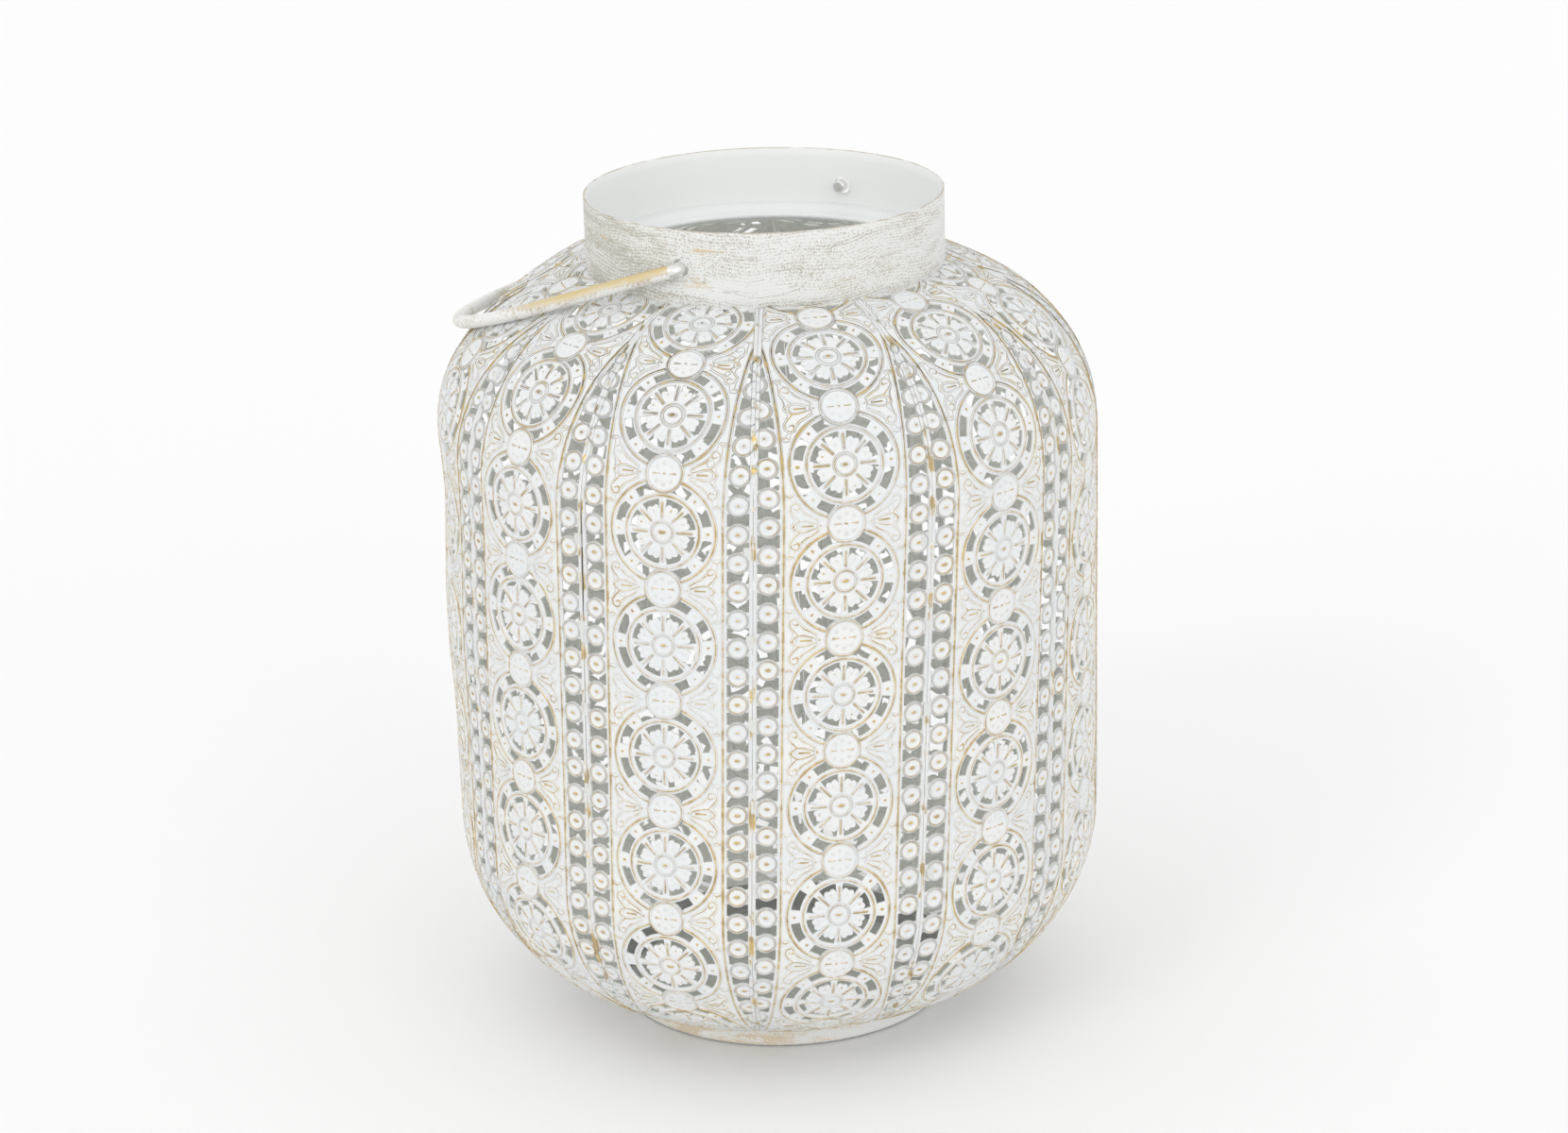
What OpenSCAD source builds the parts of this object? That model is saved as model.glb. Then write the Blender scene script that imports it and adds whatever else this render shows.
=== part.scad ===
// Pierced sheet metal lantern. Twelve stamped strips, the gores, are bent over the shoulder and
// the foot and soldered edge to edge between a rolled collar and a base pan. A rod bail swings
// in two holes of the collar. The origin is the middle of the pan's underside, +Z is up, the
// bail's pivot lies along Y and the bail rests towards -X.

/* [Body] */
// Outer radius of the straight wall
body_r = 150; // [142:1:160]
// Height of the straight wall
wall_h = 181; // [120:1:260]
// Thickness of the sheet metal
sheet_t = 0.8; // [0.6:0.1:1.2]

/* [Shoulder] */
// Radius of the bend at the top of the wall
knee_r = 73.5; // [66:0.5:80]
// Angle that this bend turns through
knee_deg = 57.5; // [50:0.5:62]
// Radius of the flatter bend up to the collar
crown_r = 131; // [115:1:150]

/* [Foot] */
// Radius of the bend at the bottom of the wall
foot_r = 88; // [78:1:96]
// Angle that this bend turns through
foot_deg = 43; // [35:1:50]
// Radius of the bend from there in to the pan
sole_r = 79.5; // [74:0.5:86]

/* [Collar] */
// Outer radius of the collar
collar_r = 81; // [76:1:88]
// Height of the collar above the gores
collar_h = 32.2; // [26:0.2:45]
// Distance from the rim down to the bail's pivot
pivot_drop = 16.8; // [12:0.2:20]
// Radius of the two bail holes
bail_hole_r = 3.9; // [3.5:0.1:4.5]
// Radius of the neck ring's opening
mouth_r = 71; // [66:1:74]

/* [Base pan] */
// Outer radius of the pan
pan_r = 78; // [72:1:84]
// Height of the pan's wall
pan_h = 15.5; // [15:0.5:20]
// Thickness of the pan
pan_t = 1; // [0.8:0.1:1.5]
// Height at which the gores' outer skin meets the pan
gore_edge_z = 12.2; // [9:0.1:13]

/* [Bail] */
// Radius of the rod
rod_r = 3; // [2.5:0.1:3.2]
// Distance from the collar to the limbs' centre lines
limb_gap = 4.5; // [4.5:0.5:12]
// Length of the straight limbs, from the pivot to the round end
limb_len = 70.5; // [60:0.5:90]
// Length of the pin ends inside the collar
pin_in = 4.5; // [3:0.5:8]

/* [Pattern] */
// Height of one repeat of the rosettes
period = 51.4; // [50:0.2:56]
// Inner and outer radius of the rosette's eight windows
window_in_r = 12.4; // [11:0.1:13.5]
window_out_r = 14.8; // [14:0.1:16]
// Inner and outer radius of the rosette's eight slots
slot_in_r = 17.8; // [17:0.1:19]
slot_out_r = 21.9; // [20:0.1:23]
// Radius of the plain disc between two rosettes, which shortens the slots beside it
disc_r = 8.8; // [8:0.1:9.5]
// Distance from the strip's middle to the near side of the bead ladder
ladder_u = 28; // [25:0.5:29]
// Width and height of an opening between two beads
ladder_w = 9.5; // [6:0.5:10]
ladder_h = 5.8; // [4:0.1:7]
// Height of its narrow middle, where the beads bulge in
ladder_waist = 3; // [2:0.1:4]

/* [Hidden] */
$fn = 96;

// Gores
gores = 12;
gore_deg = 360 / gores;
first_gore_deg = -82;
// Where the rosettes start on each strip, as shares of one repeat
start_shares = [0.26, 0.70, 0.69, 0.91, 0.35, 0.80, 0.15, 0.55, 0.05, 0.60, 0.75, 0.25];
rosette_rays = 8;
beads_per_repeat = 4;
window_half_deg = 16;
slot_half_deg = 13.5;
// Least margin of sheet around an opening, and the narrowest opening
rim_w = 1.6;
narrow_w = 2.5;
// How far the piercing punch reaches inside and outside of the skin
punch_in = 10;
punch_out = 2;
// Most that one flat band of the bent sheet turns
band_deg = 8.3;

// Solder tacks
tack_t = 1;
tack_w = 3.6;
tack_h = 6;
tack_shares = [0.07, 0.29, 0.5, 0.71, 0.93];

// Collar and neck ring
skirt_h = 2.4;
ledge_up = 2.9;
ledge_t = 1;
ledge_fillet_r = 4;
lip_r = 1.2;

// Pan
pan_corner_r = 2.5;

// Bail
bend_r = 4;
seat_gap = 0.3;
steps = 30;

// Profile of the gores' outer skin, from the collar down to the pan, as five tangent stretches
knee_x = body_r - knee_r;
crown_x = knee_x + (knee_r - crown_r) * cos(knee_deg);
foot_x = body_r - foot_r;
sole_x = foot_x + (foot_r - sole_r) * cos(foot_deg);
function crown_end_deg(inset) = acos((collar_r - crown_x) / (crown_r - inset));
function sole_end_deg(inset) = acos((pan_r - sole_x) / (sole_r - inset));
sole_z = gore_edge_z + sole_r * sin(sole_end_deg(0));
wall_low_z = sole_z + (foot_r - sole_r) * sin(foot_deg);
wall_top_z = wall_low_z + wall_h;
crown_z = wall_top_z + (knee_r - crown_r) * sin(knee_deg);
neck_z = crown_z + crown_r * sin(crown_end_deg(0));
rim_z = neck_z + collar_h;
pivot_z = rim_z - pivot_drop;
limb_y = collar_r + limb_gap;

// Arc lengths at which one stretch of the profile gives way to the next
function arc_len(r, deg) = r * deg * PI / 180;
function arc_deg(r, len) = len / r * 180 / PI;
knee_s = arc_len(crown_r, crown_end_deg(0) - knee_deg);
wall_s = knee_s + arc_len(knee_r, knee_deg);
foot_s = wall_s + wall_h;
sole_s = foot_s + arc_len(foot_r, foot_deg);
pan_s = sole_s + arc_len(sole_r, sole_end_deg(0) - foot_deg);

// Point on an arc, as radius, height and the angle of its outward normal above the horizon
function on_arc(x, z, r, a) = [x + r * cos(a), z + r * sin(a), a];
// The skin at an arc length from the collar
function skin(s) =
    s < knee_s ? on_arc(crown_x, crown_z, crown_r, crown_end_deg(0) - arc_deg(crown_r, s)) :
    s < wall_s ? on_arc(knee_x, wall_top_z, knee_r, knee_deg - arc_deg(knee_r, s - knee_s)) :
    s < foot_s ? [body_r, wall_top_z + wall_s - s, 0] :
    s < sole_s ? on_arc(foot_x, wall_low_z, foot_r, -arc_deg(foot_r, s - foot_s)) :
    on_arc(sole_x, sole_z, sole_r, -foot_deg - arc_deg(sole_r, s - sole_s));
function half_width(s) = PI * skin(s)[0] / gores;

// Points along an arc, leaving out the first ones that the stretch before it has drawn
function arc_points(x, z, r, from, to, first = 0) =
    let (n = ceil(abs(to - from) / band_deg))
    [for (i = [first:n]) let (a = from + (to - from) * i / n) [x + r * cos(a), z + r * sin(a)]];
function skin_outline(inset) = concat(
    arc_points(crown_x, crown_z, crown_r - inset, crown_end_deg(inset), knee_deg),
    arc_points(knee_x, wall_top_z, knee_r - inset, knee_deg, 0, 1),
    arc_points(foot_x, wall_low_z, foot_r - inset, 0, -foot_deg),
    arc_points(sole_x, sole_z, sole_r - inset, -foot_deg, -sole_end_deg(inset), 1));
function backwards(points) = [for (i = [len(points) - 1:-1:0]) points[i]];
inner_skin = skin_outline(sheet_t);

// Turns and moves a flat pattern onto the skin: its x runs round the body and its y runs up
module on_skin(s, u = 0) {
    p = skin(s);
    rotate([0, 0, arc_deg(p[0], u)]) translate([p[0], 0, p[1]]) rotate([0, 90 - p[2], 0])
        rotate([0, 0, 90]) children();
}

// Angle at which a circle about the rosette meets the disc above it
function disc_deg(r) = let (up = period / 2)
    r + disc_r > up ? asin((r * r + up * up - disc_r * disc_r) / (2 * r * up)) : 90;
// Corners of a square-cut opening of a rosette. A ring holds its two radii and half its angle
function ray_corners(ring, deg) = let (up = sin(deg) > 0 ? 1 : -1, right = cos(deg) > 0 ? 1 : -1)
    [for (corner = [[0, -1], [1, -1], [1, 1], [0, 1]])
        let (a = deg + corner[1] * ring[2], steep = abs(asin(sin(a))), r = ring[corner[0]],
            b = min(steep, disc_deg(r))) r * [right * cos(b), up * sin(b)]];
// Corners of an opening between two beads: the beads bulge into its top and bottom
function ladder_corners(w) = [for (corner = [[-w, -ladder_h], [0, -ladder_waist], [w, -ladder_h],
    [w, ladder_h], [0, ladder_waist], [-w, ladder_h]]) corner / 2];
// Whether an opening's corners, placed at an arc length, leave a margin of sheet all round
function fits(corners, s) = min([for (corner = corners) let (at = s - corner[1])
    at < rim_w || at > pan_s - rim_w ? -1 : half_width(at) - rim_w - abs(corner[0])]) >= 0;

module pierce(s, corners, u = 0) {
    if (len(corners) > 0) on_skin(s, u) translate([0, 0, -punch_in])
        linear_extrude(punch_in + punch_out) for (c = corners) polygon(c);
}

// One stamped strip, centred on +X before it is turned to its place. Each rosette has eight
// windows round the hub and eight slots round those, and its ladders run along both edges
module gore(index) {
    start_s = start_shares[index] * period;
    repeats = ceil(pan_s / period);
    bead_pitch = period / beads_per_repeat;
    ray_deg = 360 / rosette_rays;
    rings = [[window_in_r, window_out_r, window_half_deg], [slot_in_r, slot_out_r, slot_half_deg]];
    rotate([0, 0, first_gore_deg + gore_deg * index]) difference() {
        rotate([0, 0, -gore_deg / 2]) rotate_extrude(angle = gore_deg)
            polygon(concat(skin_outline(0), backwards(inner_skin)));
        for (k = [-1:repeats]) {
            s = start_s + k * period;
            pierce(s, [for (ring = rings, ray = [0:rosette_rays - 1])
                let (corners = ray_corners(ring, ray_deg * (ray + 0.5)))
                if (fits(corners, s)) corners]);
        }
        for (k = [-beads_per_repeat:beads_per_repeat * repeats]) {
            s = start_s + (k + 0.5) * bead_pitch;
            inside = s > ladder_h && s < pan_s - ladder_h;
            narrow = inside ? min(half_width(s - ladder_h / 2), half_width(s + ladder_h / 2)) : 0;
            w = min(ladder_u + ladder_w, narrow - rim_w) - ladder_u;
            if (w > narrow_w) for (side = [-1, 1])
                pierce(s, [ladder_corners(w)], side * (ladder_u + w / 2));
        }
    }
}

module panel(index) {
    color([0.92, 0.93, 0.93]) gore(index);
}

// Turns a section into a short solid at the middle of each seam
module at_seams(r) {
    deg = arc_deg(r, tack_w);
    for (k = [0:gores - 1]) rotate([0, 0, first_gore_deg + gore_deg * (k + 0.5) - deg / 2])
        rotate_extrude(angle = deg) children();
}

// Solder across the inside of each seam, at five heights of the wall
module seam_tacks() {
    color([0.74, 0.73, 0.68]) at_seams(body_r) for (share = tack_shares)
        translate([body_r - sheet_t - tack_t, wall_low_z + share * wall_h - tack_h / 2])
            square([tack_t, tack_h]);
}

// Rolled band, with a hole for each end of the bail
module collar() {
    color([0.9, 0.91, 0.9]) difference() {
        translate([0, 0, neck_z - skirt_h]) cylinder(h = collar_h + skirt_h, r = collar_r);
        translate([0, 0, neck_z - 2 * skirt_h])
            cylinder(h = collar_h + 4 * skirt_h, r = collar_r - sheet_t);
        translate([0, 0, pivot_z]) rotate([90, 0, 0])
            cylinder(h = 4 * collar_r, r = bail_hole_r, center = true);
    }
}

// Pressed ring inside the foot of the collar: a flange against the band, a ledge and a rolled lip
module neck_ring() {
    wall_r = collar_r - sheet_t;
    ledge_z = neck_z + ledge_up;
    lip_deg = asin((lip_r - ledge_t) / lip_r);
    lip = arc_points(mouth_r + lip_r, ledge_z - lip_r, lip_r, 90, 360 + lip_deg);
    fillet = arc_points(wall_r - sheet_t - ledge_fillet_r, ledge_z + ledge_fillet_r,
        ledge_fillet_r, 0, -90);
    color([0.94, 0.95, 0.95]) rotate_extrude() polygon(concat(lip,
        [[wall_r, ledge_z - ledge_t], [wall_r, ledge_z + ledge_fillet_r]], fillet));
}

// Solder in the corner between the collar's skirt and the gores, at each seam
module neck_tacks() {
    edge = inner_skin[0];
    next = inner_skin[1];
    along = (next - edge) * tack_w / norm(next - edge);
    color([0.74, 0.73, 0.68]) at_seams(collar_r)
        polygon([edge, edge + along, [collar_r, neck_z - skirt_h]]);
}

// Shallow pressed dish that closes the bottom. A candle stands on its floor
module base_pan() {
    outer = arc_points(pan_r - pan_corner_r, pan_corner_r, pan_corner_r, -90, 0);
    inner = arc_points(pan_r - pan_corner_r, pan_corner_r, pan_corner_r - pan_t, 0, -90);
    color([0.88, 0.85, 0.78]) rotate_extrude() polygon(concat([[0, 0]], outer,
        [[pan_r, pan_h], [pan_r - pan_t, pan_h]], inner, [[0, pan_t]]));
}

// Solder in the corner between the pan's wall and the gores, at each seam
module pan_tacks() {
    edge = inner_skin[len(inner_skin) - 1];
    next = inner_skin[len(inner_skin) - 2];
    along = (next - edge) * tack_w / norm(next - edge);
    color([0.74, 0.73, 0.68]) at_seams(pan_r) polygon([edge, edge + along, [pan_r, pan_h]]);
}

// Distance from a point beside the shoulder to its outer skin
function skin_gap(r, z) =
    let (a = atan2(z - wall_top_z, r - knee_x))
    a < 0 ? r - body_r :
    a < knee_deg ? norm([r - knee_x, z - wall_top_z]) - knee_r :
    norm([r - crown_x, z - crown_z]) - crown_r;
// Centre line of one half of the bail, as distance from the pivot and from the middle
bail_line = concat([for (i = [0:steps]) [limb_len * i / steps, limb_y]],
    [for (i = [1:steps]) let (a = 90 * i / steps) [limb_len + limb_y * sin(a), limb_y * cos(a)]]);
function bail_gap(deg) = min([for (p = bail_line)
    skin_gap(norm([p[0] * cos(deg), p[1]]), pivot_z - p[0] * sin(deg))]) - rod_r;
// Angle below the horizon at which the bail comes to lie on the shoulder, by halving
function settle(high, low, n) = let (mid = (high + low) / 2)
    n == 0 ? high : bail_gap(mid) > seat_gap ? settle(mid, low, n - 1) : settle(high, mid, n - 1);
bail_rest_deg = settle(0, 60, steps);

// Bent rod: two pins through the collar, two limbs and a round end
module bail() {
    color([0.9, 0.85, 0.72]) translate([0, 0, pivot_z]) rotate([0, -bail_rest_deg, 0]) {
        for (side = [0, 1]) mirror([0, side, 0]) {
            translate([0, limb_y - bend_r, 0]) rotate([90, 0, 0])
                cylinder(h = limb_gap - bend_r + sheet_t + pin_in, r = rod_r);
            translate([-bend_r, limb_y - bend_r, 0]) rotate_extrude(angle = 90)
                translate([bend_r, 0]) circle(rod_r);
            translate([-bend_r, limb_y, 0]) rotate([0, -90, 0])
                cylinder(h = limb_len - bend_r, r = rod_r);
        }
        translate([-limb_len, 0, 0]) rotate([0, 0, 90]) rotate_extrude(angle = 180)
            translate([limb_y, 0]) circle(rod_r);
    }
}

module panel_01() panel(0);
module panel_02() panel(1);
module panel_03() panel(2);
module panel_04() panel(3);
module panel_05() panel(4);
module panel_06() panel(5);
module panel_07() panel(6);
module panel_08() panel(7);
module panel_09() panel(8);
module panel_10() panel(9);
module panel_11() panel(10);
module panel_12() panel(11);

panel_01();
panel_02();
panel_03();
panel_04();
panel_05();
panel_06();
panel_07();
panel_08();
panel_09();
panel_10();
panel_11();
panel_12();
seam_tacks();
collar();
neck_ring();
neck_tacks();
base_pan();
pan_tacks();
bail();
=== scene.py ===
import math

import bmesh
import bpy
import numpy as np
from mathutils import Matrix, Vector, geometry, kdtree


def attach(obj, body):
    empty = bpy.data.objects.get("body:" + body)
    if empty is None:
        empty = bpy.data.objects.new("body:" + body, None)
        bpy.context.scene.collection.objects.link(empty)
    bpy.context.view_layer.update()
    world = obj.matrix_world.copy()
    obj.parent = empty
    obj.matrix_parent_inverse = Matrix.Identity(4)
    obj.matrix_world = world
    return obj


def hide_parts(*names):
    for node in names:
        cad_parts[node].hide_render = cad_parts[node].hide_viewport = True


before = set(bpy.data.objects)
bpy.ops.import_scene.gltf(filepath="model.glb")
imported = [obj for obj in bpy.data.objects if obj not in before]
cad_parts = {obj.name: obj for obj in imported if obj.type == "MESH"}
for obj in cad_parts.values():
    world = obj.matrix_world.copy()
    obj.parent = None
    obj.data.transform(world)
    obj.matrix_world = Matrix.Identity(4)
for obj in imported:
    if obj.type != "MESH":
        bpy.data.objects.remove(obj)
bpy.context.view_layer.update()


# Gores: twelve strips of pierced and embossed sheet, bent over shoulder and foot and soldered to each
# other inside. A strip's flat pattern is drawn, triangulated, embossed and then bent to the profile.
# Each strip starts its pattern where the photograph shows it, and the wall leans with a slight twist.
BODY_R, WALL_H, SHEET = 150.0, 181.0, 0.8
KNEE_R, KNEE = 73.5, math.radians(57.5)
CROWN_R, FOOT_R, FOOT, SOLE_R = 131.0, 88.0, math.radians(43), 79.5
COLLAR_R, PAN_R, EDGE_Z = 81.0, 78.0, 12.2
GORES, PERIOD, PITCH = 12, 51.4, 51.4 / 4
FIRST_DEG, GORE_DEG = -82, 360 / GORES   # the first strip's middle, and each strip's part of the round
# Where each strip starts its pattern, as a share of a repeat
STARTS = [0.26, 0.70, 0.69, 0.91, 0.35, 0.80, 0.15, 0.55, 0.05, 0.60, 0.75, 0.25]
# Degrees by which the left seam of each strip leans over TWIST_H of height, straight above TWIST_Z
TWISTS = [1.35, 1.75, 2.65, 3.2, 2.4, 2.0, 2.2, 1.8, 2.0, 2.3, 1.6, 1.5]
TWIST_Z, TWIST_H = 190, 150
GAPES = ((0.45, 227, 58), (0.14, 135, 82))   # the sprung seam's gaps: width, lower end and length

KNEE_X = BODY_R - KNEE_R
CROWN_X = KNEE_X + (KNEE_R - CROWN_R) * math.cos(KNEE)
SOLE_X = BODY_R - FOOT_R + (FOOT_R - SOLE_R) * math.cos(FOOT)
CROWN_END = math.acos((COLLAR_R - CROWN_X) / CROWN_R)
SOLE_END = math.acos((PAN_R - SOLE_X) / SOLE_R)
SOLE_Z = EDGE_Z + SOLE_R * math.sin(SOLE_END)
WALL_LOW = SOLE_Z + (FOOT_R - SOLE_R) * math.sin(FOOT)
WALL_TOP = WALL_LOW + WALL_H
CROWN_Z = WALL_TOP + (KNEE_R - CROWN_R) * math.sin(KNEE)
NECK_Z = CROWN_Z + CROWN_R * math.sin(CROWN_END)
S_KNEE = CROWN_R * (CROWN_END - KNEE)
S_WALL = S_KNEE + KNEE_R * KNEE
S_FOOT = S_WALL + WALL_H
S_SOLE = S_FOOT + FOOT_R * FOOT
S_PAN = S_SOLE + SOLE_R * (SOLE_END - FOOT)


def skin(s):
    """Radius, height and outward angle of the outer skin at arc lengths s from the collar."""
    s = np.asarray(s, float)
    parts = [s < S_KNEE, s < S_WALL, s < S_FOOT, s < S_SOLE]
    a = np.select(parts, [CROWN_END - s / CROWN_R, KNEE - (s - S_KNEE) / KNEE_R, 0 * s,
                          -(s - S_FOOT) / FOOT_R], -FOOT - (s - S_SOLE) / SOLE_R)
    r = np.select(parts, [CROWN_X + CROWN_R * np.cos(a), KNEE_X + KNEE_R * np.cos(a), BODY_R + 0 * s,
                          BODY_R - FOOT_R + FOOT_R * np.cos(a)], SOLE_X + SOLE_R * np.cos(a))
    z = np.select(parts, [CROWN_Z + CROWN_R * np.sin(a), WALL_TOP + KNEE_R * np.sin(a),
                          WALL_TOP + S_WALL - s, WALL_LOW + FOOT_R * np.sin(a)],
                  SOLE_Z + SOLE_R * np.sin(a))
    return r, z, a


def half_width(s):
    """Half of a strip's width at arc lengths s."""
    return np.pi * skin(s)[0] / GORES


# Radii of a rosette's rings, and the degrees within each 45 at which its points lie
HUB_R, PETAL_IN, WINDOW_IN, WINDOW_OUT, BAND_R = 4.7, 5.3, 11.7, 14.8, 16.3
SLOT_IN, SLOT_OUT, RING_R, ROSETTE_R = 17.8, 21.9, 23.4, 24.1
DISC_R, DISC_OUT = 8.0, 8.6
RAYS = np.array([0, 3.2, 6.5, 9, 13.5, 18, 22.5, 27, 31.5, 36, 38.5, 41.8])
WINDOW_DEG, SLOT_DEG = 16, 13.5   # to each side of their middles
BEAD_U, BEAD_R, BEAD_OUT = 32.75, 4.45, 4.9
NUB_WIDE, BUTTON_WIDE, EYE_WIDE = 2.1, 1.7, 1.9   # ovals in rosette, disc and bead: width to height
BAR_U, BAR_HALF, PIT_AT = 3.6, 1.3, 4.6   # the bar across each disc, and the pits around its button
LANE_IN, LANE_OUT, SLIT_H = 28.0, 37.5, 2.9
LINE_U, BAR_W, CUT = 26.4, 0.85, 0.12   # a strip's edge is a bar, cut short of the seam's middle
STUD_AT, STUD_R = 20.1, 1.1   # studs on the bridges between the slots
DOT_AT, DOT_R = 10.3, 0.8   # dots on the petals
NUB_R, SPOKE_IN, SPOKE_OUT = 1.7, 6.3, 13.8
# The leaf's stub beside each disc and the tip before it: middles and half lengths
STUB_U, STUB_HALF, TIP_U, TIP_HALF = 17.0, 2.2, 11.0, 0.8
END_U, END_R = 23.2, 0.9   # the leaf's round end, next to the border line
EMBOSS, SUNK = 1.5, 0.72   # how much the figures stand out, and how deep the plain sheet lies
# The palmette beside each disc, as places across and along from the disc's centre
SCROLLS = [[(22.9, 0.0), (21.7, 1.4), (19.9, 2.6), (17.4, 2.5), (14.6, 1.7), (12.6, 0.9)],
           [(19.9, 2.6), (22.2, 5.0), (23.7, 7.2), (23.3, 9.3), (21.8, 10.4), (20.2, 9.7), (19.9, 8.3),
            (20.9, 7.3), (22.0, 7.9)],
           [(12.2, 2.4), (14.6, 4.0), (17.4, 5.4), (18.9, 7.0)],
           [(22.6, 13.6), (23.6, 12.8), (25.2, 13.6)]]


def scallop(mid):
    """Inner radius of a window at angles from its middle: two petals reach into it."""
    lobes = 0.8 * np.abs(np.sin(np.pi * mid / WINDOW_DEG))
    corners = 1.3 * np.clip((np.abs(mid) - 11) / 5, 0, 1) ** 2
    return WINDOW_IN + (lobes - corners) * (np.abs(mid) <= WINDOW_DEG)


def cell(u, s, start):
    """Places in one repeat: from the rosette's centre along, out and round from the nearest window's
    middle, and along from the disc's and the bead's centres."""
    along = (s - start + PERIOD / 2) % PERIOD - PERIOD / 2
    r = np.hypot(u, along)
    mid = (np.degrees(np.arctan2(-along, u)) % 45) - 22.5
    past = PERIOD / 2 - np.abs(along)
    bead = (s - start + PITCH / 2) % PITCH - PITCH / 2
    return along, r, mid, past, bead


def relief(u, s, start):
    """Height of the embossing, and how far the palmettes' lines are, up to 2 mm."""
    along, r, mid, past, bead = cell(u, s, start)
    side = half_width(s) - np.abs(u)
    disc = np.hypot(u, past)
    h, scrolls = np.zeros_like(u), np.full_like(u, 2.0)

    def ridge(distance, width, height, where=True):
        nonlocal h
        h = np.maximum(h, height * np.sqrt(np.clip(1 - np.abs(distance) / width, 0, 1) * where))

    spoke = r * np.sin(np.radians(22.5 - np.abs(mid)))
    petals = (r > PETAL_IN) & (r < WINDOW_IN + 1)
    lobe = 0.5 - 0.5 * np.cos(np.radians(16 * (mid + 22.5)))
    swell = np.sin(np.pi * np.clip((r - PETAL_IN) / (WINDOW_IN + 1.6 - PETAL_IN), 0, 1))
    h = np.where(petals, 0.42 * lobe * swell, h)
    ridge(r - RING_R, 0.65, 0.5, disc > DISC_OUT - 0.05)
    ridge(r - BAND_R, 0.6, 0.4)
    ridge(spoke, 0.5, 0.42, (r > SPOKE_IN - 0.2) & (r < SPOKE_OUT))
    ridge(np.hypot(r - STUD_AT, spoke), STUD_R, 0.4, disc > DISC_OUT)
    ridge(r - HUB_R, 0.7, 0.5)
    ridge(r, NUB_R, 0.5)
    ridge(np.hypot(r - DOT_AT, np.radians(mid) * r), DOT_R, 0.35)
    ridge(disc - DISC_R, 0.6, 0.45)
    flower = np.abs(np.cos(4 * np.arctan2(past, u))) ** 3 * (disc < 6.2) * (disc > 1.2)
    h = np.maximum(h, 0.12 * flower * np.sin(np.pi * np.clip((disc - 1) / 5.4, 0, 1)))
    ridge(disc, 1.0, 0.4)
    ridge(np.hypot(past, np.maximum(np.abs(np.abs(u) - STUB_U) - STUB_HALF, 0)), 0.55, 0.35)
    ridge(np.hypot(past, np.maximum(np.abs(np.abs(u) - TIP_U) - TIP_HALF, 0)), 0.5, 0.3)
    for line in SCROLLS:
        for a, b in zip(line, line[1:]):
            ax, ay, bx, by = a[0], a[1], b[0] - a[0], b[1] - a[1]
            t = np.clip(((np.abs(u) - ax) * bx + (past - ay) * by) / (bx * bx + by * by), 0, 1)
            far = np.hypot(np.abs(u) - ax - t * bx, past - ay - t * by)
            ridge(far, 0.55, 0.48, r > ROSETTE_R)
            scrolls = np.minimum(scrolls, np.where(r > ROSETTE_R, far, 2.0))
    ridge(np.abs(u) - LINE_U, 0.6, 0.45)
    from_bead = np.hypot(np.abs(u) - BEAD_U, bead)
    h = np.where(from_bead < BEAD_OUT, 0.05, h)
    ridge(from_bead - BEAD_R, 0.7, 0.52)
    ridge(np.hypot((np.abs(u) - BEAD_U) / EYE_WIDE, bead), 1.0, 0.55)
    # Beyond the pattern each edge is a plain rounded bar
    inside = side > 2 * BAR_W
    bar = np.sqrt(np.clip(1 - ((side - BAR_W) / BAR_W) ** 2, 0, 1))
    return EMBOSS * np.where(inside, h, 0.5 * bar), np.where(inside, scrolls, 2.0)


def pierced(u, s, start):
    """Whether a place lies in an opening."""
    along, r, mid, past, bead = cell(u, s, start)
    window = (np.abs(mid) < WINDOW_DEG) & (r > scallop(mid)) & (r < WINDOW_OUT)
    clear = np.hypot(u, past) > DISC_OUT + 0.2
    slot = (np.abs(mid) < SLOT_DEG) & (r > SLOT_IN) & (r < SLOT_OUT) & clear
    lane = (np.abs(u) > LANE_IN) & (np.abs(u) < LANE_OUT)
    slit = lane & (PITCH / 2 - np.abs(bead) < SLIT_H) & (np.hypot(np.abs(u) - BEAD_U, bead) > BEAD_OUT)
    inside = (half_width(s) - np.abs(u) > 2 * BAR_W) & (s > 1.5) & (s < S_PAN - 1.5)
    return (window | slot | slit) & inside


EDGE_STEP = 1.7   # between places on the long lines
FILL_ROW, FILL_STEP, FILL_GAP = 2.1, 2.4, 1.15   # rows of places on plain sheet, clear of the others


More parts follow.
